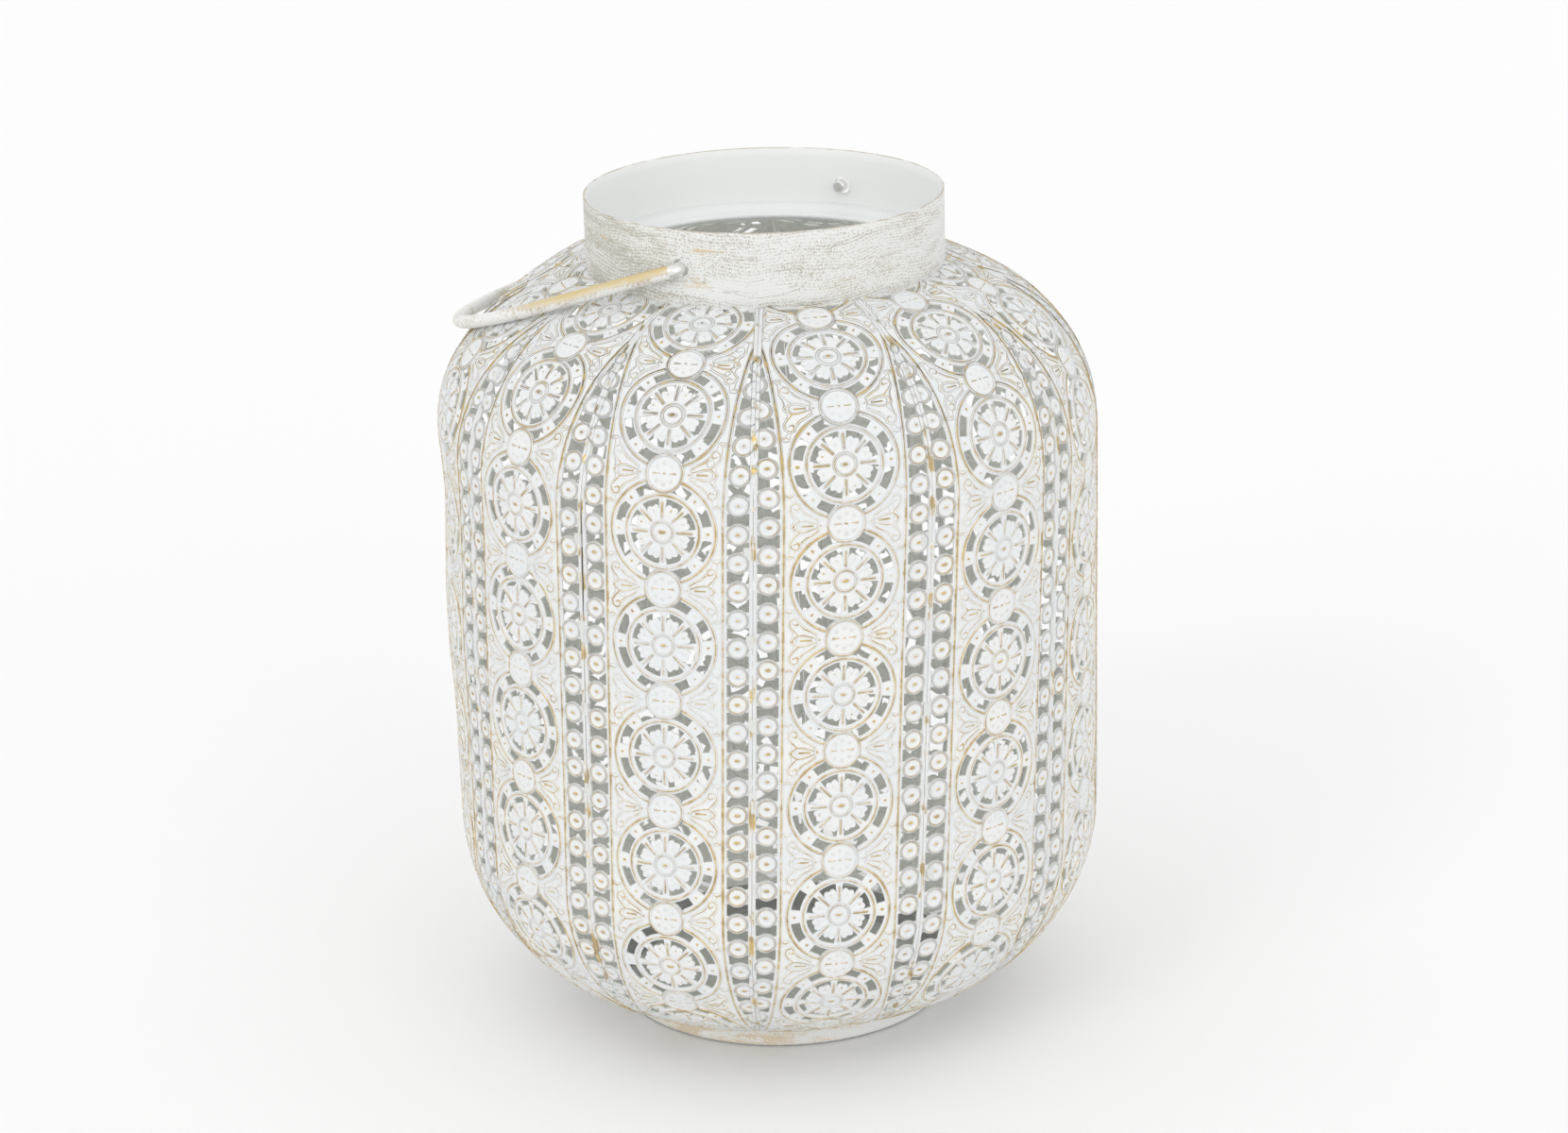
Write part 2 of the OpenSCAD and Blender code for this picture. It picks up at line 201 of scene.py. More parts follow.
def strip_points(start):
    """Places to draw a strip through, and the lines between them that its faces may not cross."""
    places, lines = [], []

    def add(points, closed=None):
        """Adds a run of places. closed None adds no line, False an open one and True a loop."""
        first = len(places)
        places.extend(points)
        if closed is not None:
            lines.extend((first + i, first + i + 1) for i in range(len(points) - 1))
            if closed:
                lines.append((first + len(points) - 1, first))

    angles = np.radians(np.concatenate([45 * k + RAYS for k in range(8)]))
    few = np.radians(np.arange(0, 360, 22.5))
    some = np.radians(np.arange(0, 360, 11.25))
    mids = (np.degrees(angles) % 45) - 22.5

    def circle(across, at, r, turns, closed=None, keep=None):
        """Adds places on a circle. With keep, only lines between places that it accepts are drawn."""
        points = np.stack([across + r * np.cos(turns), at - r * np.sin(turns)], 1)
        if keep is None:
            add([tuple(p) for p in points], closed)
        else:
            first = len(places)
            places.extend(tuple(p) for p in points)
            for i in range(len(points)):
                j = (i + 1) % len(points)
                if keep(points[i]) and keep(points[j]):
                    lines.append((first + i, first + j))

    for k in range(-1, int(S_PAN / PERIOD) + 2):
        at = start + k * PERIOD

        def clear(place):
            """Whether a place lies outside the discs between the rosettes."""
            return math.hypot(place[0], PERIOD / 2 - abs(place[1] - at)) > DISC_OUT

        add([(0, at)])
        circle(0, at, NUB_R, few)
        for r in (3.6, HUB_R, PETAL_IN + 0.1):
            circle(0, at, r, some, True if r == HUB_R else None)
        for r in (SPOKE_IN, 8.3, 9.7):
            circle(0, at, r, angles)
        circle(0, at, scallop(mids), angles, True)
        circle(0, at, WINDOW_OUT, angles, True)
        circle(0, at, BAND_R, angles, True)
        circle(0, at, SLOT_IN, angles, True)
        for r in (SLOT_OUT, RING_R, ROSETTE_R):
            circle(0, at, r, angles, True, clear)
        for turn in range(8):
            a = math.radians(45 * turn)
            add([((STUD_AT + r * math.cos(b)) * math.cos(a) - r * math.sin(b) * math.sin(a),
                  at - (STUD_AT + r * math.cos(b)) * math.sin(a) - r * math.sin(b) * math.cos(a))
                 for r, b in [(0, 0)] + [(STUD_R, j * math.pi / 3) for j in range(6)]])
            b = a + math.radians(22.5)
            add([((DOT_AT + dr) * math.cos(b), at - (DOT_AT + dr) * math.sin(b)) for dr in (DOT_R, -DOT_R)])
            for side in (-1, 1):
                for half, r1, r2 in ((WINDOW_DEG, scallop(WINDOW_DEG), WINDOW_OUT),
                                     (SLOT_DEG, SLOT_IN, SLOT_OUT)):
                    b = a + math.radians(22.5 + side * half)
                    add([(r * math.cos(b), at - r * math.sin(b)) for r in np.linspace(r1, r2, 4)], False)
            add([(r * math.cos(a), at - r * math.sin(a))
                 for r in (SPOKE_IN, 8.3, DOT_AT, 11.5, 12.6, SPOKE_OUT)], False)
        middle = at + PERIOD / 2
        add([(0, middle)])
        circle(0, middle, 1.0, few)
        for r in (2.6, 4.2, 5.8):
            circle(0, middle, r, np.radians(np.arange(0, 360, 15)))
        for r in (DISC_R - 0.6, DISC_R, DISC_OUT, DISC_OUT + 0.2):
            circle(0, middle, r, np.radians(np.arange(0, 360, 10)), True)
        for right in (-1, 1):
            add([(right * u, middle + d) for u in (2.2, 3.4, 4.6) for d in (0, -0.4, 0.4)])
            for leaf, half, w in ((STUB_U, STUB_HALF, 0.55), (TIP_U, TIP_HALF, 0.5)):
                run = np.linspace(leaf - half, leaf + half, 4)
                add([(right * u, middle) for u in run], False)
                add([(right * u, middle + d) for u in run for d in (-w, w)])
            add([(right * (END_U + END_R * math.cos(b)), middle + END_R * math.sin(b))
                 for b in np.arange(0, 6.28, math.pi / 4)] + [(right * END_U, middle)])
            for up in (-1, 1):
                for line in SCROLLS:
                    fine = []
                    for a, b in zip(line, line[1:]):
                        n = max(1, round(math.hypot(b[0] - a[0], b[1] - a[1]) / 1.3))
                        fine += [tuple(np.array(a) + (np.array(b) - np.array(a)) * i / n) for i in range(n)]
                    fine.append(line[-1])
                    way = np.gradient(np.array(fine), axis=0)
                    way /= np.linalg.norm(way, axis=1)[:, None]
                    for offset in (-0.5, 0, 0.5):
                        row = np.array(fine) + offset * np.stack([-way[:, 1], way[:, 0]], 1)
                        row = [(right * across, middle - up * past) for across, past in row]
                        add(row, False if offset == 0 else None)

    steps = np.linspace(0, S_PAN, int(S_PAN / EDGE_STEP) + 1)
    wide = half_width(steps)
    for right in (-1, 1):
        for u in (LINE_U - 0.6, LINE_U, LINE_U + 0.6, LANE_IN, LANE_OUT):
            reach = wide > u + 2 * BAR_W + 0.3
            run = steps[reach]
            if len(run) > 2:
                add([(right * u, s) for s in run], False)
        for inset in (CUT, BAR_W, 2 * BAR_W):
            add([(right * (w - inset), s) for s, w in zip(steps, wide)], False)
        for j in range(-4, int(S_PAN / PITCH) + 5):
            at = start + j * PITCH
            if not -BEAD_OUT < at < S_PAN + BEAD_OUT:
                continue
            around = np.radians(np.arange(0, 360, 18))
            eye = [(0, 0), (1, 0), (-1, 0), (0, 1), (0, -1)]
            eye += [(0.7, 0.7), (-0.7, 0.7), (0.7, -0.7), (-0.7, -0.7)]
            add([(right * BEAD_U + EYE_WIDE * right * c, at + d) for c, d in eye])
            circle(right * BEAD_U, at, BEAD_R - 0.6, around)
            circle(right * BEAD_U, at, BEAD_R, around, True)
            circle(right * BEAD_U, at, BEAD_OUT, around, True)
            add([(right * (LANE_IN + c), at + d) for c, d in ((0.72, 0), (-0.72, 0), (0, 0.6), (0, -0.6))])
            flat = math.sqrt(BEAD_OUT ** 2 - (PITCH / 2 - SLIT_H) ** 2)
            for up in (-1, 1):
                edge = at + up * (PITCH / 2 - SLIT_H)
                for c in (-1, 1):
                    add([(right * BEAD_U + c * x, edge) for x in (flat, (LANE_OUT - LANE_IN) / 2)], False)
    for s in (0.0, S_PAN):
        w = float(half_width(s)) - CUT
        add([(u, s) for u in np.linspace(-w, w, 28)], False)

    # Plain sheet between the figures, filled in even rows
    tree = kdtree.KDTree(len(places))
    for i, p in enumerate(places):
        tree.insert((p[0], p[1], 0), i)
    tree.balance()
    for i, s in enumerate(np.arange(1.2, S_PAN - 1, FILL_ROW)):
        w = float(half_width(s)) - 2.6
        for u in np.arange(-w + (i % 2) * FILL_STEP / 2, w, FILL_STEP):
            if tree.find((u, s, 0))[2] > FILL_GAP:
                places.append((float(u), float(s)))
    return places, lines


def strip_flat(start):
    """The flat strip in triangles: its places, and its faces without those in openings."""
    places, lines = strip_points(start)
    w = half_width(np.array([p[1] for p in places]).clip(0, S_PAN))
    keep = [i for i, (u, s) in enumerate(places)
            if abs(u) <= w[i] - CUT + 1e-4 and -1e-6 <= s <= S_PAN + 1e-6]
    new = {old: i for i, old in enumerate(keep)}
    edges = [(new[a], new[b]) for a, b in lines if a in new and b in new]
    verts, _, faces, *_ = geometry.delaunay_2d_cdt([Vector(places[i]) for i in keep], edges, [], 0, 0.02)
    flat = np.array([(v[0], v[1]) for v in verts])
    faces = np.array(faces)
    mid = flat[faces].mean(axis=1)
    solid = ~pierced(mid[:, 0], mid[:, 1], start)
    a, b, c = flat[faces[:, 0]], flat[faces[:, 1]], flat[faces[:, 2]]
    area = (b[:, 0] - a[:, 0]) * (c[:, 1] - a[:, 1]) - (b[:, 1] - a[:, 1]) * (c[:, 0] - a[:, 0])
    faces = faces[solid & (np.abs(area) > 1e-4)]
    used = np.unique(faces)
    place = -np.ones(len(flat), int)
    place[used] = np.arange(len(used))
    return flat[used], place[faces]


def gore(index, paint, inside):
    """One strip as a shell: embossed on the flat, bent to the profile and set in its place round."""
    start = STARTS[index] * PERIOD
    flat, faces = strip_flat(start)
    u, s = flat[:, 0], flat[:, 1]
    height, scrolls = relief(u, s, start)
    sides = np.concatenate([faces[:, [0, 1]], faces[:, [1, 2]], faces[:, [2, 0]]])
    keys = np.sort(sides, axis=1)
    _, first, count = np.unique(keys, axis=0, return_index=True, return_counts=True)
    rim = sides[first[count == 1]]
    # The punch draws the edges of the openings inwards
    at_rim = np.zeros(len(flat), bool)
    at_rim[rim.ravel()] = True
    outer_edge = np.abs(u) > half_width(s) - 0.2
    beaded = np.hypot(np.abs(u) - BEAD_U, cell(u, s, start)[-1]) < BEAD_OUT + 0.05
    drawn_in = np.where(beaded, 0.3, np.minimum(height, 0.2) - 0.15)
    height = np.where(at_rim & ~outer_edge, drawn_in, height)
    radius, z, a = skin(s)
    share = u / half_width(s)
    # Sunk below the skin, drawn in a little at the seams, and not quite even
    uneven = 0.25 * np.sin(z / 31 + 1.7 * index) * np.cos(u / 17 + index) + 0.15 * np.sin(z / 13 + index)
    height = height - SUNK - 0.3 - 0.55 * np.abs(share) ** 8 + 0.3 * uneven
    way = FIRST_DEG + GORE_DEG * index + GORE_DEG / 2 * share

    def swell(middle, reach, s_middle, s_reach):
        """1 at a place in degrees round and millimetres from the collar, 0 beyond its reach."""
        off = np.clip(((way - middle + 180) % 360 - 180) / reach, -1, 1)
        return (np.cos(np.pi / 2 * off) * np.cos(np.pi / 2 * np.clip((s - s_middle) / s_reach, -1, 1))) ** 2

    # Shaped by hand: one side of the shoulder stands higher, and the wall below it further out
    height = height + 3.0 * swell(211, 26, 80, 60) + 1.8 * swell(211, 40, 195, 60)
    raised = swell(172, 45, 0, 75)
    radius, z = radius + 0.9 * raised * (s < 30) * (1 - s / 30), z + 5.5 * raised
    left, right = TWISTS[index], TWISTS[(index + 1) % GORES]
    twist = (left * (0.5 - share / 2) + right * (0.5 + share / 2)) * (z - TWIST_Z) / TWIST_H
    # One seam has sprung open above its middle tack, and stands a hair apart below it
    gape = sum(wide * np.sqrt(np.clip(np.sin(np.pi * np.clip((z - low) / tall, 0, 1)), 0, 1))
               for wide, low, tall in GAPES)
    open_side = {0: -1, 11: 1}.get(index, 0)
    shift = -open_side * gape * np.clip(share * open_side, 0, 1) ** 3 / radius
    turn = np.radians(FIRST_DEG + GORE_DEG * index + twist + GORE_DEG / 2 * share) + shift

    def bent(lift):
        """The strip's places in metres, lifted off the skin."""
        return np.stack([(radius + lift * np.cos(a)) * np.cos(turn),
                         (radius + lift * np.cos(a)) * np.sin(turn), z + lift * np.sin(a)], 1) / 1000

    outer, inner = bent(height), bent(height - SHEET)
    n = len(flat)
    corner, second, third = outer[faces[0]]
    if np.dot(np.cross(second - corner, third - corner), corner * [1, 1, 0]) < 0:
        faces, rim = faces[:, ::-1], rim[:, ::-1]
    quads = np.stack([rim[:, 1], rim[:, 0], rim[:, 0] + n, rim[:, 1] + n], 1)
    mesh = bpy.data.meshes.new("gore_%02d" % (index + 1))
    mesh.from_pydata(np.concatenate([outer, inner]).tolist(), [],
                     faces.tolist() + (faces[:, ::-1] + n).tolist() + quads.tolist())
    mesh.materials.append(paint)
    mesh.materials.append(inside)
    slots = np.zeros(len(mesh.polygons), int)
    slots[len(faces):] = 1
    mesh.polygons.foreach_set("material_index", slots)
    mesh.polygons.foreach_set("use_smooth", np.ones(len(mesh.polygons), bool))
    # The flat pattern's coordinates in millimetres: across, along and in from the seam
    drawn = np.stack([u, s - start, half_width(s) - np.abs(u)], 1)
    layer = mesh.attributes.new("drawn", "FLOAT_VECTOR", "POINT")
    layer.data.foreach_set("vector", np.concatenate([drawn, drawn]).ravel())
    layer = mesh.attributes.new("scrolls", "FLOAT", "POINT")
    layer.data.foreach_set("value", np.concatenate([scrolls, scrolls]))
    corners = np.empty(2 * len(mesh.edges), int)
    mesh.edges.foreach_get("vertices", corners)
    corners = corners.reshape(-1, 2)
    # The edges of the openings stay crisp
    rim_keys = {tuple(k) for k in np.sort(rim, axis=1).tolist()}
    rim_keys |= {(p + n, q + n) for p, q in rim_keys}
    sharp = np.array([tuple(k) in rim_keys for k in np.sort(corners, axis=1).tolist()])
    edge_layer = mesh.attributes.new("sharp_edge", "BOOLEAN", "EDGE")
    edge_layer.data.foreach_set("value", sharp)
    mesh.update()
    piece = bpy.data.objects.new("gore_%02d" % (index + 1), mesh)
    bpy.context.collection.objects.link(piece)
    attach(piece, "body")
    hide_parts("panel_%02d" % (index + 1))


class Val:
    """One output of a material's nodes. Sums, products and the like of Vals are Math nodes."""

    def __init__(self, shader, socket):
        self.shader = shader
        self.socket = socket

    def do(self, operation, *others):
        return self.shader.node("ShaderNodeMath", "Value", {"operation": operation}, self, *others)

    def __add__(self, other):
        return self.do("ADD", other)

    def __sub__(self, other):
        return self.do("SUBTRACT", other)

    def __rsub__(self, other):
        return self * -1 + other

    def __mul__(self, other):
        return self.do("MULTIPLY", other)

    def __truediv__(self, other):
        return self.do("DIVIDE", other)

    def __rtruediv__(self, other):
        return self.do("POWER", -1) * other

    __radd__, __rmul__ = __add__, __mul__

    def __pow__(self, other):
        return self.do("POWER", other)

    def __abs__(self):
        return self.do("ABSOLUTE")

    def most(self, other):
        return self.do("MAXIMUM", other)

    def sine(self):
        return self.do("SINE")

    def wrap(self, size):
        """The value brought to within half a size of 0, as a pattern repeats."""
        return self.do("WRAP", size / 2, -size / 2)

    def away(self, other):
        """How far a place is, from its distances across and along."""
        return (self * self + other * other) ** 0.5

    def line(self, width):
        """1 where the value is 0, falling to 0 a width away on both sides."""
        return (1 - abs(self) / width).most(0)

    def ramp(self, low, shoulder_shade):
        """0 below low, 1 above high, smooth between them."""
        return self.shader.node("ShaderNodeMapRange", "Result", {"interpolation_type": "SMOOTHSTEP"},
                                self, low, shoulder_shade, 0.0, 1.0)


class Shader:
    """A material, and the nodes that its looks need."""

    def __init__(self, name):
        self.material = bpy.data.materials.new(name)
        self.material.use_nodes = True
        self.tree = self.material.node_tree
        self.bsdf = self.tree.nodes["Principled BSDF"]

    def node(self, kind, output, settings, *values, **named):
        """A new node with its settings and inputs, given in order or by name."""
        node = self.tree.nodes.new(kind)
        for key, value in settings.items():
            setattr(node, key, value)
        for key, value in list(enumerate(values)) + list(named.items()):
            self.set(node.inputs[key], value)
        return Val(self, node.outputs[output])

    def set(self, socket, value):
        if isinstance(value, Val):
            self.tree.links.new(value.socket, socket)
        else:
            socket.default_value = value

    def place(self):
        return self.node("ShaderNodeTexCoord", "Object", {})

    def attribute(self, name, output="Fac"):
        return self.node("ShaderNodeAttribute", output, {"attribute_name": name})

    def parts(self, vector):
        """The three numbers of a vector."""
        return [self.node("ShaderNodeSeparateXYZ", axis, {}, vector) for axis in "XYZ"]

    def noise(self, place, scale, detail=3.0, rough=0.55):
        return self.node("ShaderNodeTexNoise", "Fac", {}, Vector=place, Scale=scale, Detail=detail,
                         Roughness=rough)

    def stretch(self, place, x, y, z):
        return self.node("ShaderNodeVectorMath", "Vector", {"operation": "MULTIPLY"}, place, (x, y, z))

    def mix(self, factor, a, b):
        """A colour between a and b."""
        node = self.tree.nodes.new("ShaderNodeMix")
        node.data_type = "RGBA"
        for socket, value in zip((node.inputs[0], node.inputs[6], node.inputs[7]), (factor, a, b)):
            self.set(socket, value)
        return Val(self, node.outputs[2])

    def bump(self, height, distance, strength=1.0):
        return self.node("ShaderNodeBump", "Normal", {}, Height=height, Distance=distance, Strength=strength)

    def finish(self, **sockets):
        """The material, with these inputs of its Principled node set."""
        for name, value in sockets.items():
            self.set(self.bsdf.inputs[name.replace("_", " ")], value)
        return self.material


def chalk_paint():
    """Chalky white over gold, rubbed through on raised lines; browner on the shoulder and dark at the lines'
    feet as painted shade.
    """
    sh = Shader("chalk_paint")
    place = sh.place()
    # Painted shade on the shoulder: there the gold, the stain and the lines' feet are painted browner and
    # darker
    shoulder_shade = sh.parts(place)[2].ramp(0.275, 0.33)
    # Places on the flat strip in millimetres, brought to one repeat of the pattern
    u, down, side = sh.parts(sh.attribute("drawn", "Vector"))
    x, along, bead = abs(u), down.wrap(PERIOD), down.wrap(PITCH)
    past = PERIOD / 2 - abs(along)
    r, disc, from_bead = x.away(along), x.away(past), (x - BEAD_U).away(bead)
    turn = along.do("ARCTAN2", u)
    spoke, between = r * turn.wrap(math.pi / 4), r * (turn + math.pi / 8).wrap(math.pi / 4)
    barred = r.ramp(SPOKE_IN - 0.3, SPOKE_IN + 0.5) * (1 - r.ramp(SPOKE_OUT - 0.6, SPOKE_OUT + 0.1))
    free, inside = disc.ramp(DISC_OUT - 0.3, DISC_OUT), side.ramp(1.6, 1.8)
    # Distances to the middles of the lines
    ring, band, rim, hub = (r - RING_R) * free + (1 - free) * 9, r - BAND_R, disc - DISC_R, r - HUB_R
    border, eye, scrolls = x - LINE_U, ((x - BEAD_U) / EYE_WIDE).away(bead), sh.attribute("scrolls")
    pits = (disc - PIT_AT).away(disc * past.do("ARCTAN2", x).wrap(math.pi / 4))
    # Share of rubbing on each raised line
    worn = ring.line(0.9) * 0.95
    for share in (band.line(0.8) * 0.85,
                  hub.line(0.7) * 0.65,
                  (x / NUB_WIDE).away(along).line(1.35) * 1.15,
                  spoke.line(0.7) * barred * 0.95,
                  ((r - STUD_AT) / 1.3).away(spoke).line(1.2) * free,
                  (r - DOT_AT).away(between).line(1.1) * 0.7,
                  rim.line(0.65) * 0.8,
                  (x / BUTTON_WIDE).away(past).line(0.95),
                  past.away((abs(x - BAR_U) - BAR_HALF).most(0)).line(0.6),
                  past.away(x - TIP_U).line(1.0),
                  past.away((abs(x - STUB_U + 0.4) - STUB_HALF).most(0)).line(0.7) * 1.1,
                  past.away(x - (END_U - 0.6)).line(1.0),
                  scrolls.line(0.55) * 0.8,
                  border.line(0.95) * (0.88 + shoulder_shade * 0.18),
                  border.away(bead / 2.6).line(1.0) * 1.2,
                  (from_bead - (BEAD_R - 0.6)).line(0.5) * 0.74,
                  eye.line(1.3) * (1.15 - shoulder_shade * 0.4)):
        worn = worn.most(share)
    worn = worn * inside
    blotchy = sh.noise(sh.stretch(place, 1.0, 1.0, 0.7), 150.0, 2.0, 0.5)
    worn = worn.most((side - 0.6).line(1.6) * (1 - inside) * (0.46 + (blotchy - 0.5) * 2.8))
    # Painted shade: a thin dark line at the foot of each raised line
    foot = (abs(ring) - 0.8).line(0.25)
    for share in ((abs(band) - 0.75).line(0.25),
                  (abs(rim) - 0.7).line(0.25),
                  (abs(rim) - 0.3).line(0.2) * 0.6,
                  (abs(border) - 0.75).line(0.25),
                  (abs(hub) - 0.75).line(0.3),
                  ((x / NUB_WIDE).away(along) - 1.0).line(0.3) * 0.8,
                  (abs(spoke) - 0.7).line(0.25) * barred,
                  (pits - 0.6).line(0.4) * (0.9 - shoulder_shade * 0.45),
                  (scrolls - 0.75).line(0.3),
                  (from_bead - BEAD_OUT).line(0.3),
                  (from_bead - (BEAD_R - 0.9)).line(0.3)):
        foot = foot.most(share)
    foot = (foot * inside).most((side - 1.75).line(0.3))

    broad, patchy = sh.noise(place, 45.0), sh.noise(place, 170.0, 3.0, 0.6)
    fine, ground = sh.noise(place, 1100.0, 4.0, 0.65), sh.noise(place, 480.0, 3.0, 0.6)
    loss = (broad - 0.5) * 0.9 + (patchy - 0.5) * 1.0 + (fine - 0.5) * 0.35
    rubbed = (worn + loss).ramp(0.52, 0.78)
    gold = sh.mix(patchy.ramp(0.35, 0.65), (0.75, 0.54, 0.21, 1), (0.48, 0.35, 0.17, 1))
    # Gold painted browner and darker on the shoulder, as shade
    shoulder_shaded_gold = sh.mix(patchy.ramp(0.42, 0.62), (0.17, 0.135, 0.08, 1), (0.6, 0.44, 0.17, 1))
    # White with grey specks, then stained beside the rubbing, then painted shade at the foot of the lines
    speck = (ground + (fine - 0.5) * 0.5).ramp(0.6, 0.72)
    stain = sh.mix(shoulder_shade, (0.74, 0.66, 0.5, 1), (0.6, 0.56, 0.46, 1))
    foot_shade_color = sh.mix(shoulder_shade, (0.45, 0.4, 0.3, 1), (0.2, 0.17, 0.12, 1))
    white = sh.mix(broad.ramp(0.35, 0.7), (0.775, 0.795, 0.8, 1), (0.825, 0.83, 0.815, 1))
    white = sh.mix(speck * 0.35, white, (0.62, 0.6, 0.53, 1))
    white = sh.mix((worn + loss * 0.8).ramp(0.3, 0.65) * 0.4, white, stain)
    # Painted shade at the feet of the lines, deeper on the shoulder
    foot_shading = (foot + loss * 0.6 + shoulder_shade * 0.2).ramp(0.5, 0.95) * (0.5 + shoulder_shade * 0.2)
    color = sh.mix(rubbed, sh.mix(foot_shading, white, foot_shade_color), sh.mix(shoulder_shade, gold, shoulder_shaded_gold))
    # Fine hammering, and the soft edges that thick paint has on each line
    height = ground * 0.42 + fine * 0.15
    for edge in (ring.line(0.9) * 0.4, band.line(0.8) * 0.4, rim.line(0.8) * 0.4, hub.line(0.7) * 0.5,
                 spoke.line(0.7) * barred * 0.4, (x / 1.8).away(along).line(1.2) * 0.6,
                 pits.line(1.1) * 0.3, (from_bead - (BEAD_R - 0.05)).line(0.45) * 0.6,
                 eye.line(1.2) * 0.6):
        height = height + edge
    return sh.finish(Base_Color=color, Roughness=0.58 - rubbed * 0.25, Metallic=rubbed * 0.3,
                     Normal=sh.bump(height, 0.0011, 1.0))


def inner_paint():
    """Thin grey-white paint on the strips' hollow side, paler than the outer white as painted light for the
    light that reaches in.
    """
    sh = Shader("inner_paint")
    spots = sh.noise(sh.place(), 120.0)
    return sh.finish(Base_Color=sh.mix(spots, (0.83, 0.84, 0.8, 1), (0.87, 0.88, 0.84, 1)), Roughness=0.8)


paint, inside = chalk_paint(), inner_paint()
for index in range(GORES):
    gore(index, paint, inside)

# Collar: a band of sheet rolled into a ring and lapped, with a hole on each side for the bail.
# Brushed with white over grey-brown, rubbed to gold in patches. It stands on the strips' upper ends.
COLLAR_H, PIVOT_DOWN, HOLE_R, SKIRT = 32.2, 16.8, 3.9, 2.4   # the skirt is the part below the neck
RIM_Z, PIVOT_Z, HEIGHT = NECK_Z + COLLAR_H, NECK_Z + COLLAR_H - PIVOT_DOWN, COLLAR_H + SKIRT
CREASE = 0.9   # an edge is crisp where it turns by more radians
HOLE_UP, HOLE_EASE, HOLE_SIDES = PIVOT_Z - NECK_Z + SKIRT, 0.35, 36
FREE_R = 9.5   # the band's even rows keep this far from a hole's middle
around = 2 * math.pi * COLLAR_R
places, lines = [], []
holes = [around / 4, around * 3 / 4]
for hole in holes:
    for r, closed in ((HOLE_R, True), (HOLE_R + HOLE_EASE, True), (6.0, False), (8.5, False)):
        first = len(places)
        places += [(hole + r * math.cos(b), HOLE_UP + r * math.sin(b))
                   for b in np.linspace(0, 2 * math.pi, HOLE_SIDES + 1)[:-1]]
        if closed:
            lines += [(first + i, first + (i + 1) % HOLE_SIDES) for i in range(HOLE_SIDES)]
for v in (0, 0.3, 6, 12, 18, 24, 30, HEIGHT - 0.25, HEIGHT):
    for u in np.linspace(0, around, 193):
        if min(math.hypot(u - hole, v - HOLE_UP) for hole in holes) > FREE_R:
            places.append((float(u), v))
verts, _, faces, *_ = geometry.delaunay_2d_cdt([Vector(p) for p in places], lines, [], 0, 0.01)
flat = np.array([(v[0], v[1]) for v in verts])
faces = np.array([f for f in faces if len(f) == 3])
mid = flat[faces].mean(axis=1)
solid = np.ones(len(faces), bool)
for hole in holes:
    solid &= np.hypot(mid[:, 0] - hole, mid[:, 1] - HOLE_UP) > HOLE_R
faces = faces[solid]
turn = flat[:, 0] / COLLAR_R - math.pi
at_edge = (flat[:, 1] > HEIGHT - 0.1) | (flat[:, 1] < 0.1)


def collar_skin(r, ease):
    """The flat band's places bent to radius r, and eased at its upper and lower edges."""
    r = np.where(at_edge, r + ease, r)
    return np.stack([r * np.cos(turn), r * np.sin(turn), flat[:, 1] + NECK_Z - SKIRT], 1) / 1000


def soften(bm):
    """Turns the faces outwards and smooths them, with creases at the sharp edges."""
    bmesh.ops.recalc_face_normals(bm, faces=bm.faces)
    for face in bm.faces:
        face.smooth = True
    for edge in bm.edges:
        if len(edge.link_faces) == 2 and edge.calc_face_angle(0) > CREASE:
            edge.smooth = False


def to_piece(name, bm):
    """A new object that holds the finished shape."""
    mesh = bpy.data.meshes.new(name)
    bm.to_mesh(mesh)
    bm.free()
    piece = bpy.data.objects.new(name, mesh)
    bpy.context.collection.objects.link(piece)
    return piece


bm = bmesh.new()
for skin_r, ease, flip in ((COLLAR_R, -0.2, False), (COLLAR_R - SHEET, 0.2, True)):
    points = [bm.verts.new(p) for p in collar_skin(skin_r, ease)]
    for f in faces:
        bm.faces.new([points[i] for i in (f[::-1] if flip else f)])
bmesh.ops.remove_doubles(bm, verts=bm.verts, dist=2e-6)
loose = [e for e in bm.edges if e.is_boundary]
for level in (RIM_Z, NECK_Z - SKIRT):
    bmesh.ops.bridge_loops(bm, edges=[e for e in loose
                                      if all(abs(v.co.z * 1000 - level) < 0.1 for v in e.verts)])
for side in (-1, 1):
    bmesh.ops.bridge_loops(bm, edges=[e for e in bm.edges
                                      if e.is_boundary and e.verts[0].co.y * side > 0.07])
soften(bm)
collar = to_piece("collar_band", bm)

sh = Shader("collar_paint")
place = sh.place()
x, y, z = sh.parts(place)
outside = x.away(y).ramp(0.0805, 0.0807)
# Millimetres around the band from the near hole, and up from it
round_mm = y.do("ARCTAN2", x) * COLLAR_R + math.pi / 2 * COLLAR_R
up_mm = (z - PIVOT_Z / 1000) * 1000
wavy = sh.noise(place, 22.0, 2.0, 0.5)
dashes = sh.noise(sh.stretch(place, 1.0, 1.0, 4.0), 330.0, 3.0, 0.65)
rows = ((up_mm + (wavy - 0.5) * 16) * 4.4).sine()
strokes = sh.noise(sh.stretch(place, 1.0, 1.0, 6.0), 38.0, 4.0, 0.6)
dots = sh.noise(sh.stretch(place, 1.0, 1.0, 0.7), 1700.0, 2.0, 0.6)
smear = (round_mm / 26 - 0.9).away((up_mm + 9) / 5.5).line(1.0)
shade = (0 - round_mm).ramp(-5, 45) * round_mm.ramp(-125, -95) * 0.1
stipple = (dots + rows * 0.06 + (strokes - 0.5) * 0.5 + shade - smear * 0.35).ramp(0.5, 0.64) * outside
streak = sh.noise(sh.stretch(place, 1.0, 1.0, 10.0), 80.0, 3.0, 0.6)
